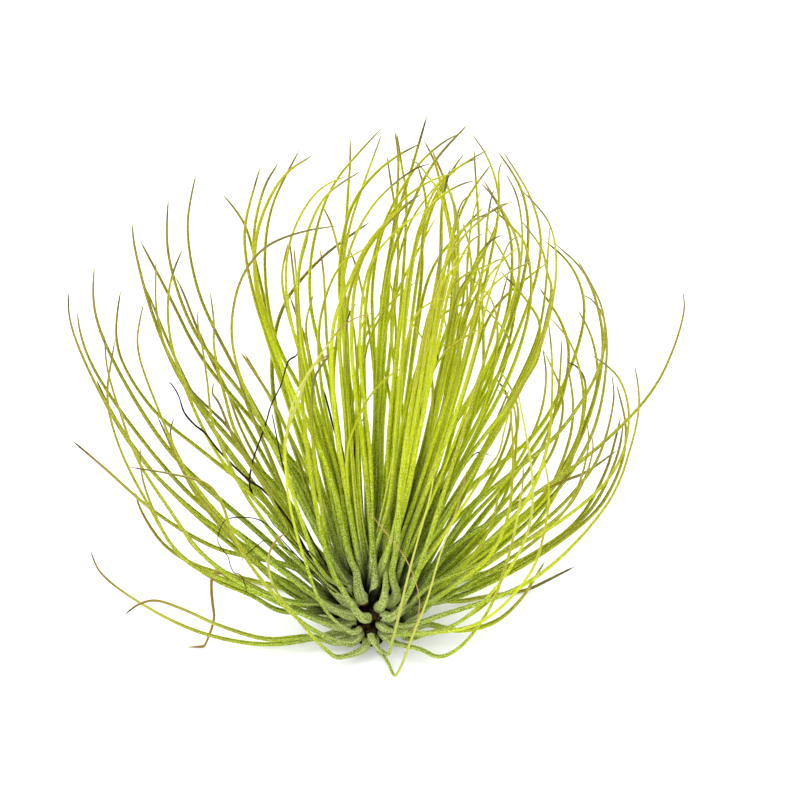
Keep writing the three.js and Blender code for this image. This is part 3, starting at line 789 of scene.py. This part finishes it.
def named(name, kind="FLOAT"):
    """What the lines or the tubes carry under this name."""
    return grow.add("GeometryNodeInputNamedAttribute", {"data_type": kind}, {"Name": name})[0]


def store(geometry, name, value, kind="FLOAT", domain="POINT"):
    settings = {"data_type": kind, "domain": domain}
    sockets = {"Geometry": geometry, "Name": name, "Value": value}
    return grow.add("GeometryNodeStoreNamedAttribute", settings, sockets)[0]


def after(geometry, step, **sockets):
    """The geometry after one more step."""
    return grow.add(f"GeometryNode{step}", {}, {"Geometry": geometry, **sockets})[0]


# %% How thick a leaf is
UNEVEN_DENSITY = 160  # waves in a metre of leaf
SEED_APART = 100  # how far apart in the noise two leaves may be
TAPER = 0.7

given = {wire.socket.name: wire for wire in grow.add("NodeGroupInput") if wire.socket.name}
along = named("along")
share = named("share")
stout = named("stout")
pointed = grow.number("SQRT", 1 - share ** given["Point"])
blade = given["Blade radius"] * stout * (1 - given["Thinning"] * share ** TAPER) * pointed
up_sheath = along / given["Sheath middle"]
swell = given["Sheath swell"] * stout * up_sheath * grow.number("EXPONENT", 1 - up_sheath)
wave_sockets = {"W": along * UNEVEN_DENSITY + named("seed") * SEED_APART, "Scale": 1.0, "Detail": 1.0}
wave = grow.add("ShaderNodeTexNoise", {"noise_dimensions": "1D"}, wave_sockets)[0]
uneven = 1 + (wave - 0.5) * given["Unevenness"]
to_foot = grow.number("MAXIMUM", 1 - along / given["Round foot"], 0.0)
thickness = (blade + swell) * uneven * grow.number("SQRT", 1 - to_foot * to_foot)

# %% The section, and the sweep along each line
BLADE_STARTS = 4 * MM
BLADE_FORMED = 12 * MM
CHANNEL_EDGE = 0.72

lines = grow.add("GeometryNodeMeshToCurve", {}, {"Mesh": given["Lines"]})[0]
upper = named("face", "FLOAT_VECTOR")
tangent = grow.add("GeometryNodeInputTangent")[0]
lines = store(lines, "centre", grow.add("GeometryNodeInputPosition")[0], "FLOAT_VECTOR")
lines = store(lines, "across", grow.vector("CROSS_PRODUCT", tangent, upper), "FLOAT_VECTOR")
circle_sockets = {"Resolution": given["Sides"] + 1, "Radius": 1.0, "Sweep Angle": math.tau}
circle = grow.add("GeometryNodeCurveArc", {"mode": "RADIUS"}, circle_sockets)[0]
circle = store(circle, "around", grow.add("GeometryNodeSplineParameter")[0])
tubes = grow.add("GeometryNodeCurveToMesh", {}, {"Curve": lines, "Profile Curve": circle})[0]

around = named("around")
angle = around * math.tau
up_side = grow.number("SINE", angle)
right_side = grow.number("COSINE", angle)
formed = grow.rise(along, BLADE_STARTS, BLADE_FORMED)
channel = given["Channel"] * formed * grow.rise(up_side, CHANNEL_EDGE, 1.0)
flat = 1 - formed * (1 - given["Flatness"])
sideways = right_side * thickness
upwards = (up_side * flat - channel) * thickness
place = named("centre", "FLOAT_VECTOR") + named("across", "FLOAT_VECTOR") * sideways + upper * upwards
tubes = after(tubes, "SetPosition", Position=place)

# %% Texture strips, closed seams and the material
STRIP_MARGIN = 0.06
STRIP_END = 0.005
STRIP_POWER = 0.8  # below 1, so that the sheath gets more of its strip than its length would give it
MERGE_DISTANCE = 1e-6

strip_across = (named("strip") + STRIP_MARGIN + around * (1 - 2 * STRIP_MARGIN)) / given["Strips"]
strip_up = (share ** STRIP_POWER) * (1 - 2 * STRIP_END) + STRIP_END
strips = grow.add("ShaderNodeCombineXYZ", {}, {"X": strip_across, "Y": strip_up})[0]
tubes = store(tubes, "OFBake", strips, "FLOAT2", "CORNER")
tubes = store(tubes, "upside", up_side)
tubes = store(tubes, "rightside", right_side)
tubes = after(tubes, "MergeByDistance", Distance=MERGE_DISTANCE)
for spent in ("centre", "across", "face", "around", "strip", "stout"):
    tubes = after(tubes, "RemoveAttribute", Name=spent)
tubes = after(tubes, "SetShadeSmooth")
tubes = after(tubes, "RealizeInstances")
tubes = after(tubes, "SetMaterial", Material=given["Material"])
grow.add("NodeGroupOutput", {}, {"Leaves": tubes})
print("the growing tree has", len(growth.nodes), "nodes")

# %% [markdown]
# The tree needs to know more than where each line runs. Every point of a line says how far along its leaf
# it is, which way the leaf's upper side faces there and what the leaf is like. The upper side faces the
# plant's middle at the foot and is carried along the leaf without twisting.

# %% Lay the lines out for the tree
FACE_INWARD = 0.6
CHARACTER = ("stout", "youth", "yellow_from", "dry_from", "char", "seed", "inner")
NUMBERS = ("along", "share", "strip", *CHARACTER)
FLOOR_CLEARANCE = 0.05 * MM
FLOOR_THINNING = 0.8  # how much thinner a leaf is taken to be at its tip, where it lies on the table


def upper_faces(line):
    """Which way the upper side of a leaf faces at each point of its line."""
    tangents = unit(np.gradient(line, axis=0))
    inward = unit(np.array([-line[0][0], -line[0][1], 0.0]) + 1e-9)
    face = np.array([0, 0, 1.0]) + FACE_INWARD * inward
    faces = []
    for tangent in tangents:
        face = unit(face - tangent * (face @ tangent))
        faces.append(face)
    return np.array(faces)


def ring_middles(leaf):
    """Where the middles of a leaf's rings are, none of them under the table, and how far along it."""
    line, along = smooth_line(leaf["points"])
    at = stations(line, along)
    line = np.column_stack([np.interp(at, along, line[:, k]) for k in range(3)])
    radius = leaf["stout"] * GROWTH_NUMBERS["Blade radius"] * (1 - FLOOR_THINNING * at / at[-1])
    line[:, 2] = np.maximum(line[:, 2], radius + FLOOR_CLEARANCE)
    return line, at


def lines_object(name, group):
    """The lines of a group of leaves as one mesh of edges, with what the tree needs at each point."""
    points, edges, faces = [], [], []
    numbers = {number: [] for number in NUMBERS}
    for strip, leaf in enumerate(group):
        line, at = ring_middles(leaf)
        first = strip * RINGS
        edges += [(first + i, first + i + 1) for i in range(RINGS - 1)]
        points.append(line)
        faces.append(upper_faces(line))
        told = {"along": at, "share": at / at[-1], "strip": strip, **leaf}
        for number in NUMBERS:
            numbers[number].append(np.broadcast_to(told[number], RINGS))
    mesh = bpy.data.meshes.new(name)
    mesh.from_pydata(np.concatenate(points), edges, [])
    for number, values in numbers.items():
        attribute = mesh.attributes.new(number, "FLOAT", "POINT")
        attribute.data.foreach_set("value", np.concatenate(values).astype(np.float32))
    attribute = mesh.attributes.new("face", "FLOAT_VECTOR", "POINT")
    attribute.data.foreach_set("vector", np.concatenate(faces).astype(np.float32).ravel())
    return show(name, mesh)


# %% Grow a group of leaves into one plain mesh
def grow_group(name, group, material, **settings):
    lines = lines_object(name, group)
    identifiers = {item.name: item.identifier for item in growth.interface.items_tree}
    modifier = lines.modifiers.new("growth", "NODES")
    modifier.node_group = growth
    for label, value in {"Strips": len(group), "Material": material, **settings}.items():
        modifier[identifiers[label]] = value
    evaluated = lines.evaluated_get(bpy.context.evaluated_depsgraph_get())
    mesh = bpy.data.meshes.new_from_object(evaluated)
    lines.modifiers.remove(modifier)
    bpy.data.objects.remove(lines)
    mesh.name = name
    return show(name, mesh)


# %% [markdown]
# ## The leaf's surface
# Silvery scales cover the sage sheath and fade along the blade. The blade turns from green to pale
# yellow-green, vivid in the young middle of the plant, and olive towards its tip, sooner and darker on an
# old leaf. The channel is darkened with painted shade, and its two edges are lightened with a painted
# highlight in the scales' silver. The feet of the inner leaves are painted nearly black near the stem, as
# painted shade among the sheaths. The last stretch of each leaf has dried to grey-brown, and an old leaf
# is already brown before that.

# %% The colours of a leaf
SAGE = looks(160, 175, 94)
LEAF_GREEN = looks(150, 175, 0)
PALE_GREEN = looks(190, 200, 6)
OLIVE = looks(154, 156, 36)
DARK_OLIVE = looks(112, 106, 22)
LIGHT_OLIVE = looks(148, 142, 28)
VIVID = looks(202, 214, 0)
SILVER = looks(220, 228, 160)
BRIGHT_SPECK = looks(232, 238, 120)
# a dark green for the leaf's own darker tones, and for the painted shade in its channel
DARK_GREEN_AND_SHADE = looks(66, 80, 0)
DEEP_SHADE = looks(9, 11, 3)
YELLOW = looks(172, 174, 84)
TAN = looks(134, 108, 58)
GREY_TIP = looks(112, 106, 72)
CHARCOAL = looks(58, 50, 40)
RUST = looks(76, 40, 14)

# %% What is alive: its greens along the leaf
SHEATH_ENDS = (4 * MM, 20 * MM)  # a pair is where something comes in, and where all of it is there
PALE_FROM = (0.15, 0.4)  # these are shares of the leaf's length
OLIVE_FROM = (0.42, 0.72)
DARK_FROM = (0.5, 0.85)
VIVID_FROM = (0.06, 0.42)
VIVID_FADES = (0.45, 0.8)
STILL_YOUNG = (0.1, 0.8)
OLD_LACKS_PALE = 0.6
OLD_IS_SOONER = 0.2
OLD_IS_DARKER = 0.7
VIVID_LOST = 0.75


def living_green(tree, leaf):
    colour = tree.colours(tree.rise(leaf.along, *SHEATH_ENDS), SAGE, LEAF_GREEN)
    pale = tree.rise(leaf.share, *PALE_FROM) * (1 - leaf.old * OLD_LACKS_PALE)
    colour = tree.colours(pale, colour, PALE_GREEN)
    olive = tree.rise(leaf.share + leaf.old * OLD_IS_SOONER, *OLIVE_FROM)
    colour = tree.colours(olive, colour, tree.colours(leaf.old, LIGHT_OLIVE, OLIVE))
    dark = tree.rise(leaf.share, *DARK_FROM) * leaf.old * OLD_IS_DARKER
    colour = tree.colours(dark, colour, DARK_OLIVE)
    vivid = tree.rise(leaf.youth, *STILL_YOUNG) * tree.rise(leaf.share, *VIVID_FROM)
    vivid = vivid * (1 - tree.rise(leaf.share, *VIVID_FADES) * VIVID_LOST)
    return tree.colours(vivid, colour, VIVID)


# %% Its marks: streaks, scales, painted shade in the channel and on the inner feet, painted highlight along the channel's edges
CHANNEL_SHADE_ACROSS = (0.8, 0.97)
CHANNEL_SHADE_FROM = (5 * MM, 14 * MM)
RIM_MIDDLE = 0.62
RIM_REACH = 0.12
SHADE_UNTIL = (15 * MM, 5 * MM)
SPECKS_FROM = (0.1, 0.4)
SCALES_FADE = 0.6


def marked(tree, leaf, colour):
    """The colour with its marks: the mask of each, how strong it is, how much of that fades, its colour."""
    # painted shade: the channel down the upper side is darkened
    channel = tree.rise(leaf.upside, *CHANNEL_SHADE_ACROSS) * tree.rise(leaf.along, *CHANNEL_SHADE_FROM)
    # painted highlight: the two edges of the channel are lightened with the scales' silver
    rim_highlight = tree.bell(leaf.upside, RIM_MIDDLE, RIM_REACH)
    specks = tree.colours(tree.rise(leaf.share, *SPECKS_FROM), SILVER, BRIGHT_SPECK)
    # painted shade: the feet of the inner leaves turn nearly black near the stem, where shade falls among the
    # sheaths
    shaded = tree.rise(leaf.along, *SHADE_UNTIL) * leaf.inner
    marks = [
        (tree.rise(leaf.drift, 0.35, 0.75), 0.1, 0.0, DARK_GREEN_AND_SHADE),
        (tree.rise(leaf.streaks, 0.5, 0.6), 0.45, 0.8, DARK_GREEN_AND_SHADE),
        (channel, 0.18, 0.0, DARK_GREEN_AND_SHADE),
        (rim_highlight, 0.55, 0.7, SILVER),
        (leaf.scaly, 0.6, 0.0, specks),
        (tree.rise(leaf.scales, 0.48, 0.43), 0.45, 0.9, DARK_GREEN_AND_SHADE),
        (tree.rise(leaf.seed, 0.55, 1.0), 0.1, 0.0, DARK_GREEN_AND_SHADE),
        (shaded, 1.0, 0.0, DEEP_SHADE),
    ]
    for mask, strength, fades, tint in marks:
        share = mask * strength * (1 - leaf.fading * fades) if fades else mask * strength
        colour = tree.colours(share, colour, tint)
    return colour


# %% What has dried: yellow, brown, grey, char and rust
WANDER = 0.25  # how unevenly it dries, as a share of the length
YELLOWS = (-0.03, 0.06)
BROWNS = (-0.14, -0.02)
OLD_IS_BROWNER = 0.5
DRIES = (-0.2, 0.5)
DRY_WANDER = 0.3
CHARS = (0.9, 0.98)
RUST_ENDS = (2.3 * MM, 1.6 * MM)
RUST_WANDER = 3 * MM
RUSTY_SEEDS = (0.2, 0.5)


def dried(tree, leaf, colour):
    wander = (leaf.drift - 0.5) * WANDER
    yellowed = tree.rise(leaf.share + wander - leaf.yellow_from, *YELLOWS)
    colour = tree.colours(yellowed, colour, YELLOW)
    browned = tree.rise(leaf.share + wander - leaf.dry_from, *BROWNS) * leaf.old * OLD_IS_BROWNER
    colour = tree.colours(browned, colour, TAN)
    past = (leaf.share + wander * DRY_WANDER - leaf.dry_from) / (1 - leaf.dry_from)
    colour = tree.colours(tree.rise(past, *DRIES), colour, tree.colours(yellowed, GREY_TIP, TAN))
    colour = tree.colours(tree.rise(leaf.share, *CHARS) * leaf.char, colour, CHARCOAL)
    rusty = tree.rise(leaf.along + wander * RUST_WANDER, *RUST_ENDS) * tree.rise(leaf.seed, *RUSTY_SEEDS)
    return tree.colours(rusty, colour, RUST)


# %% The leaf material
SCALE_DENSITY = 3200
DRIFT_DENSITY = 70.0
STREAK_DENSITY = 2.7
STREAK_LENGTH = 14 * MM
STREAK_APART = 50  # how far apart in the noise two leaves may be
LEAF_NOISE = 0.6
OLD_UNTIL = (0.1, 0.4)  # of youth
MARKS_FADE = (0.15, 0.8)  # of the leaf's length
SCALE_EDGE = (0.53, 0.57)  # of the noise
SATIN = 0.5
TOLD = ("along", "share", "upside", "rightside", "youth", "seed", "inner", "yellow_from", "dry_from",
        "char")


def leaf_material():
    material, tree, shader = new_material("leaf")
    leaf = SimpleNamespace(**{name: tree.attribute(name) for name in TOLD})
    here = tree.here()
    length_wise = leaf.along / STREAK_LENGTH + leaf.seed * STREAK_APART
    unrolled = {"X": leaf.rightside, "Y": leaf.upside, "Z": length_wise}
    unrolled = tree.add("ShaderNodeCombineXYZ", {}, unrolled)[0]
    leaf.old = 1 - tree.rise(leaf.youth, *OLD_UNTIL)
    leaf.fading = tree.rise(leaf.share, *MARKS_FADE)
    leaf.drift = tree.noise(here, DRIFT_DENSITY, 2.0, LEAF_NOISE)
    leaf.streaks = tree.noise(unrolled, STREAK_DENSITY, 3.0, LEAF_NOISE)
    leaf.scales = tree.noise(here, SCALE_DENSITY, 2.0, LEAF_NOISE)
    leaf.scaly = tree.rise(leaf.scales, *SCALE_EDGE) * (1 - leaf.fading * SCALES_FADE)
    plug(tree, shader, {
        "Base Color": dried(tree, leaf, marked(tree, leaf, living_green(tree, leaf))),
        "Roughness": SATIN + leaf.scaly * 0.22,
        "Specular IOR Level": 0.03,
        "Subsurface Weight": 0.8,
        "Subsurface Radius": (1.0, 1.0, 0.25),
        "Subsurface Scale": 1.2 * MM,
        "Normal": tree.bump(0.8, 0.1 * MM, leaf.scales * 0.6 + leaf.streaks * 0.4),
    })
    return material


leaf_surface = leaf_material()

# %% [markdown]
# What is dead has lost its green: it is tan, rust-brown or nearly black, matt, and wrinkled along its
# length. The stem is darker still. Where old leaves have come off it shows rust-brown scars.

# %% The dead material and the stem's
DEAD_TAN = looks(190, 160, 92)
DEAD_BROWN = looks(52, 34, 16)
DEAD_BLACK = looks(24, 14, 8)
STEM_BLACK = looks(7, 5, 4)
STEM_BROWN = looks(20, 12, 8)
STEM_SCAR = looks(60, 28, 12)
PATCH_DENSITY = 120.0
FIBRE_DENSITY = 3200.0
GRAIN_DENSITY = 1500.0
SCAR_DENSITY = 420.0
PATCH_EDGE = (0.45, 0.7)  # pairs again, now in the noise: where something comes in, and where it is full
TAN_EDGE = (0.5, 1.0)
FIBRE_EDGE = (0.52, 0.62)
GRAIN_EDGE = (0.45, 0.7)
SCAR_EDGE = (0.06, 0.01)


def dead_material():
    material, tree, shader = new_material("dead_leaf")
    patches = tree.noise(tree.here(), PATCH_DENSITY, 3.0)
    fibres = tree.noise(tree.here(), FIBRE_DENSITY, 2.0)
    colour = tree.colours(tree.rise(patches, *PATCH_EDGE), DEAD_BLACK, DEAD_BROWN)
    colour = tree.colours(tree.rise(patches * 0.4 + tree.attribute("seed"), *TAN_EDGE), colour, DEAD_TAN)
    colour = tree.colours(tree.rise(fibres, *FIBRE_EDGE) * 0.12, colour, DEAD_TAN)
    plug(tree, shader, {
        "Base Color": colour,
        "Roughness": 0.7 + fibres * 0.2,
        "Specular IOR Level": 0.05,
        "Normal": tree.bump(0.9, 0.12 * MM, fibres),
    })
    return material


def stem_material():
    material, tree, shader = new_material("stem")
    grain = tree.noise(tree.here(), GRAIN_DENSITY, 4.0)
    cracks = {"Vector": tree.here(), "Scale": SCAR_DENSITY}
    scars = tree.add("ShaderNodeTexVoronoi", {"feature": "DISTANCE_TO_EDGE"}, cracks)[0]
    colour = tree.colours(tree.rise(grain, *GRAIN_EDGE) * 0.7, STEM_BLACK, STEM_BROWN)
    colour = tree.colours(tree.rise(scars, *SCAR_EDGE) * 0.4, colour, STEM_SCAR)
    plug(tree, shader, {
        "Base Color": colour,
        "Roughness": 0.82 + grain * 0.15,
        "Specular IOR Level": 0.1,
        "Normal": tree.bump(1.0, 0.3 * MM, grain * 0.6 + scars),
    })
    return material


dead_surface = dead_material()
stem_surface = stem_material()

# %% [markdown]
# ## All the leaves
# The leaves of each side are grown in groups of about a dozen, in order around the plant. Each group
# stands for the model's leaves that it holds.

# %% Grow the groups
GROUP_SIZE = 14


def direction_of(leaf):
    """Where a leaf's tip points, as an angle around the plant."""
    tip = leaf["points"][-1]
    return math.atan2(tip[1], tip[0])


for side in ("left", "back", "right", "front", "dry"):
    members = sorted((leaf for leaf in leaves if leaf["side"] == side), key=direction_of)
    parts = math.ceil(len(members) / GROUP_SIZE)
    for i in range(parts):
        group = members[i * len(members) // parts : (i + 1) * len(members) // parts]
        piece = grow_group(f"{side}_leaves_{i + 1}", group, leaf_surface)
        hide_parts(*[leaf["node"] for leaf in group if leaf["node"]])
        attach(piece, "root")
        "dry_leaf" if side == "dry" else "leaf"
        print(piece.name, len(group), "leaves,", len(piece.data.polygons), "faces")

# %% [markdown]
# The dead fibres are grown by the same tree, thin and hardly channelled. So are the scraps, which are flat,
# wide and short.

# %% Grow what is dead
FIBRE_SETTINGS = {"Blade radius": 1.0 * MM, "Thinning": 0.3, "Sheath swell": 0.4 * MM, "Channel": 0.35,
                  "Unevenness": 0.9}
SCRAP_SETTINGS = {"Blade radius": 1.0 * MM, "Point": 1.4, "Sheath swell": 0.3 * MM, "Unevenness": 1.2}

what_is_dead = {"dead_fibres": (dead, FIBRE_SETTINGS), "old_sheaths": (scraps, SCRAP_SETTINGS)}
for name, (group, settings) in what_is_dead.items():
    piece = grow_group(name, group, dead_surface, **settings)
    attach(piece, "root")
    print(name, len(piece.data.polygons), "faces")

# %% [markdown]
# ## The stem
# It is mostly hidden by the feet of the leaves. It keeps the model's form: a flat end on the table, a
# narrow stub and a rounded part. Ledges wind around it where the old leaves stood, and it is rough.

# %% Shape the stem
STEM_TURNS = 72
STEM_RINGS = 60
BARK_DEPTH = 1.2 * MM  # how much thinner it is than in the model, where the leaves' feet reach deeper
MOST_BARK = 0.5  # of the radius
LEDGES = 9
LEDGE_DEPTH = 0.35 * MM
STUB_HEIGHT = 2 * MM
ROUGHNESS_DEPTH = 0.5 * MM
ROUGHNESS_SCALE = 0.45 / MM
LEAST_LEFT = 0.2  # of the radius, however rough the stem is there
NEARLY_NOTHING = 1e-6


def stem_profile():
    """Rings of the model's stem, as height and radius, from its flat end to its top."""
    corners = np.array([vertex.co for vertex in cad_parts["stem"].data.vertices])
    heights = np.unique(corners[:, 2].round(6))
    radii = []
    for height in heights:
        ring = corners[np.isclose(corners[:, 2], height, atol=NEARLY_NOTHING)]
        radii.append(np.hypot(ring[:, 0], ring[:, 1]).max())
    radii[-1] = 0
    return heights, np.array(radii)


def bark_point(height, turn, heights, radii):
    """A point of the rough stem, at a height and a turn around it."""
    radius = np.interp(height, heights, radii)
    radius -= min(BARK_DEPTH, MOST_BARK * radius) * min(1, height / STUB_HEIGHT)
    place = Vector((radius * math.cos(turn), radius * math.sin(turn), height))
    ledge = LEDGE_DEPTH * ((height / heights[-1] * LEDGES + turn / math.tau) % 1.0)
    rough = ROUGHNESS_DEPTH * (0.5 + 0.5 * noise.noise(place * ROUGHNESS_SCALE))
    left = max(LEAST_LEFT, 1 - (ledge + rough) / max(radius, NEARLY_NOTHING))
    if height == heights[0]:
        left = 1
    return place.x * left, place.y * left, height


def shape_stem():
    heights, radii = stem_profile()
    bm = bmesh.new()
    turns = [math.tau * k / STEM_TURNS for k in range(STEM_TURNS)]
    levels = [heights[0], *[heights[-1] * i / STEM_RINGS for i in range(2, STEM_RINGS)]]
    rings = [[bm.verts.new(bark_point(level, turn, heights, radii)) for turn in turns] for level in levels]
    top = bm.verts.new((0, 0, heights[-1]))
    bottom = bm.verts.new((0, 0, heights[0]))
    sides = [(k, (k + 1) % STEM_TURNS) for k in range(STEM_TURNS)]
    for low, high in zip(rings, rings[1:]):
        for k, j in sides:
            bm.faces.new((low[k], low[j], high[j], high[k]))
    for k, j in sides:
        bm.faces.new((rings[-1][k], rings[-1][j], top))
        bm.faces.new((rings[0][j], rings[0][k], bottom))
    bmesh.ops.recalc_face_normals(bm, faces=bm.faces)
    mesh = bpy.data.meshes.new("stem_detailed")
    bm.to_mesh(mesh)
    bm.free()
    mesh.shade_smooth()
    mesh.materials.append(stem_surface)
    return show("stem_detailed", mesh)


stem = shape_stem()
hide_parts("stem")
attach(stem, "root")
print("the stem has", len(stem.data.polygons), "faces")
